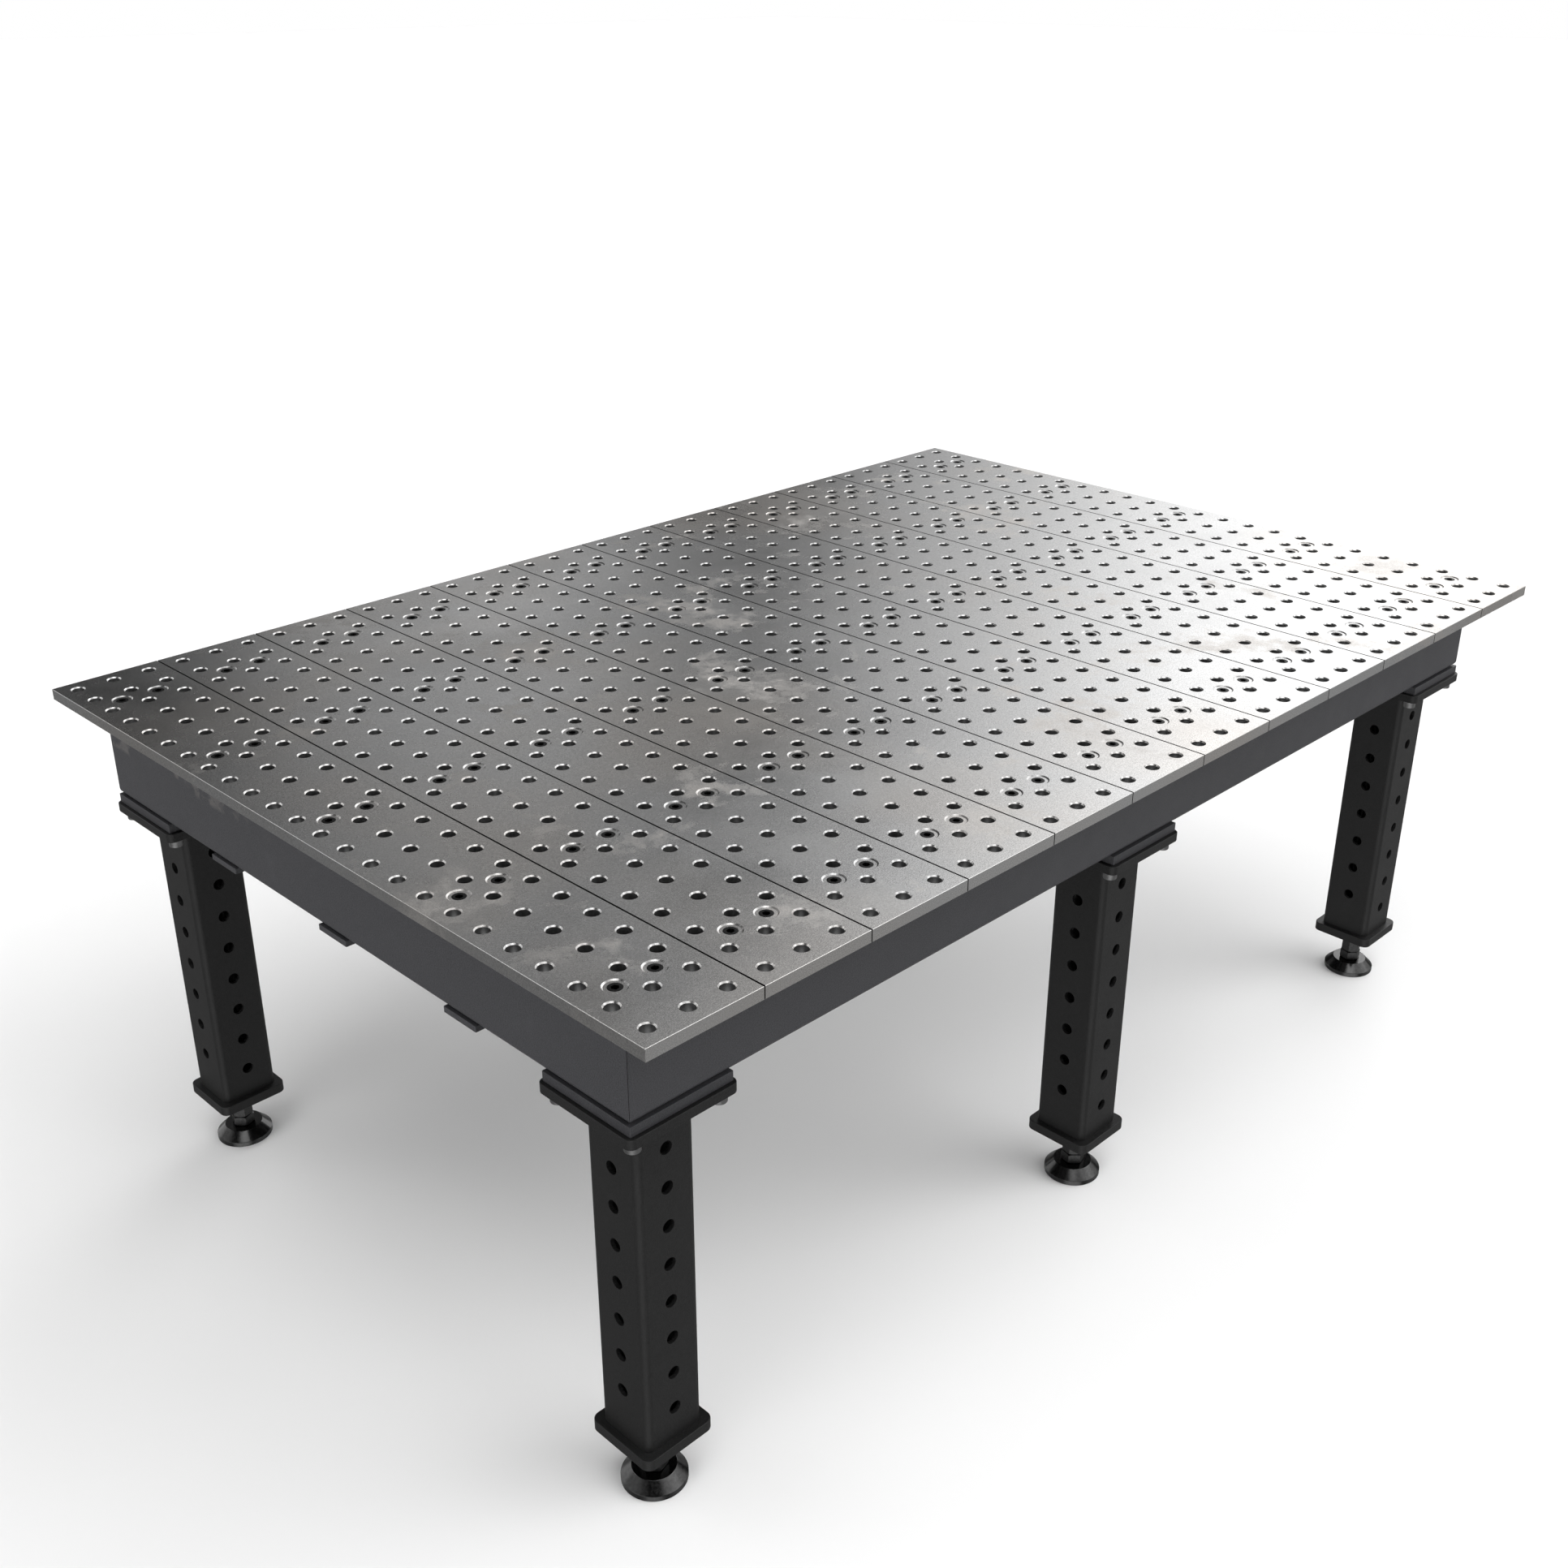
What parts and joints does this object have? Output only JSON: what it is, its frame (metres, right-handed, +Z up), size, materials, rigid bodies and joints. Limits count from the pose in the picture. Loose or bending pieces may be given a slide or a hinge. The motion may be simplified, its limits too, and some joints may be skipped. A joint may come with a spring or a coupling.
{
  "type": "welding table",
  "caption": "Low steel welding table: bare planked top with a grid of fixture holes, on a dark welded tube frame with square legs and screw levelling feet.",
  "frame": {"origin": "on the floor under the middle of the table, between the feet", "axes": "+X along the long side, +Y towards the back long side, +Z up"},
  "size_m": [1.7984, 1.2, 0.698],
  "materials": {
    "plank_steel": "bare ground steel with faint stains",
    "frame_paint": "fine textured dark grey paint",
    "leg_coating": "near-black textured powder coat",
    "dark_steel": "dark burnished steel",
    "stud_steel": "dark burnished steel",
    "base_steel": "turned burnished steel"
  },
  "bodies": {
    "root": {"top_plank_01": "plank_steel", "top_plank_02": "plank_steel", "top_plank_03": "plank_steel", "top_plank_04": "plank_steel", "top_plank_05": "plank_steel", "top_plank_06": "plank_steel", "top_plank_07": "plank_steel", "top_plank_08": "plank_steel", "top_plank_09": "plank_steel", "top_plank_10": "plank_steel", "top_plank_11": "plank_steel", "top_plank_12": "plank_steel", "frame_rail_front": "frame_paint", "frame_rail_back": "frame_paint", "frame_rail_left": "frame_paint", "frame_rail_right": "frame_paint", "frame_inner_rail_1": "frame_paint", "frame_inner_rail_2": "frame_paint", "frame_inner_rail_3": "frame_paint", "rail_pad_left_1": "frame_paint", "rail_pad_left_2": "frame_paint", "rail_pad_left_3": "frame_paint", "rail_pad_right_1": "frame_paint", "rail_pad_right_2": "frame_paint", "rail_pad_right_3": "frame_paint", "leg_pad_front_left": "frame_paint", "leg_front_left": "leg_coating", "foot_nut_front_left": "dark_steel", "leg_pad_front_middle": "frame_paint", "leg_front_middle": "leg_coating", "foot_nut_front_middle": "dark_steel", "leg_pad_front_right": "frame_paint", "leg_front_right": "leg_coating", "foot_nut_front_right": "dark_steel", "leg_pad_back_left": "frame_paint", "leg_back_left": "leg_coating", "foot_nut_back_left": "dark_steel", "leg_pad_back_middle": "frame_paint", "leg_back_middle": "leg_coating", "foot_nut_back_middle": "dark_steel", "leg_pad_back_right": "frame_paint", "leg_back_right": "leg_coating", "foot_nut_back_right": "dark_steel"},
    "base_front_left": {"foot_base_front_left": "base_steel"},
    "stud_front_left": {"foot_stud_front_left": "stud_steel"},
    "base_front_middle": {"foot_base_front_middle": "base_steel"},
    "stud_front_middle": {"foot_stud_front_middle": "stud_steel"},
    "base_front_right": {"foot_base_front_right": "base_steel"},
    "stud_front_right": {"foot_stud_front_right": "stud_steel"},
    "base_back_left": {"foot_base_back_left": "base_steel"},
    "stud_back_left": {"foot_stud_back_left": "stud_steel"},
    "base_back_middle": {"foot_base_back_middle": "base_steel"},
    "stud_back_middle": {"foot_stud_back_middle": "stud_steel"},
    "base_back_right": {"foot_base_back_right": "base_steel"},
    "stud_back_right": {"foot_stud_back_right": "stud_steel"}
  },
  "joints": [
    {"name": "height_front_left", "type": "slide", "parent": "root", "child": "base_front_left", "axis": [0, 0, -1], "range_m": [0, 0.04]},
    {"name": "screw_front_left", "type": "hinge", "parent": "base_front_left", "child": "stud_front_left", "pos_m": [-0.7948, -0.4606, 0.03], "axis": [0, 0, -1], "range_deg": [0, 5760]},
    {"name": "height_front_middle", "type": "slide", "parent": "root", "child": "base_front_middle", "axis": [0, 0, -1], "range_m": [0, 0.04]},
    {"name": "screw_front_middle", "type": "hinge", "parent": "base_front_middle", "child": "stud_front_middle", "pos_m": [0, -0.4606, 0.03], "axis": [0, 0, -1], "range_deg": [0, 5760]},
    {"name": "height_front_right", "type": "slide", "parent": "root", "child": "base_front_right", "axis": [0, 0, -1], "range_m": [0, 0.04]},
    {"name": "screw_front_right", "type": "hinge", "parent": "base_front_right", "child": "stud_front_right", "pos_m": [0.7948, -0.4606, 0.03], "axis": [0, 0, -1], "range_deg": [0, 5760]},
    {"name": "height_back_left", "type": "slide", "parent": "root", "child": "base_back_left", "axis": [0, 0, -1], "range_m": [0, 0.04]},
    {"name": "screw_back_left", "type": "hinge", "parent": "base_back_left", "child": "stud_back_left", "pos_m": [-0.7948, 0.4606, 0.03], "axis": [0, 0, -1], "range_deg": [0, 5760]},
    {"name": "height_back_middle", "type": "slide", "parent": "root", "child": "base_back_middle", "axis": [0, 0, -1], "range_m": [0, 0.04]},
    {"name": "screw_back_middle", "type": "hinge", "parent": "base_back_middle", "child": "stud_back_middle", "pos_m": [0, 0.4606, 0.03], "axis": [0, 0, -1], "range_deg": [0, 5760]},
    {"name": "height_back_right", "type": "slide", "parent": "root", "child": "base_back_right", "axis": [0, 0, -1], "range_m": [0, 0.04]},
    {"name": "screw_back_right", "type": "hinge", "parent": "base_back_right", "child": "stud_back_right", "pos_m": [0.7948, 0.4606, 0.03], "axis": [0, 0, -1], "range_deg": [0, 5760]}
  ],
  "couplings": [
    {"joint": "screw_front_left", "follows": "height_front_left", "rad_per_m": 2513.3},
    {"joint": "screw_front_middle", "follows": "height_front_middle", "rad_per_m": 2513.3},
    {"joint": "screw_front_right", "follows": "height_front_right", "rad_per_m": 2513.3},
    {"joint": "screw_back_left", "follows": "height_back_left", "rad_per_m": 2513.3},
    {"joint": "screw_back_middle", "follows": "height_back_middle", "rad_per_m": 2513.3},
    {"joint": "screw_back_right", "follows": "height_back_right", "rad_per_m": 2513.3}
  ]
}
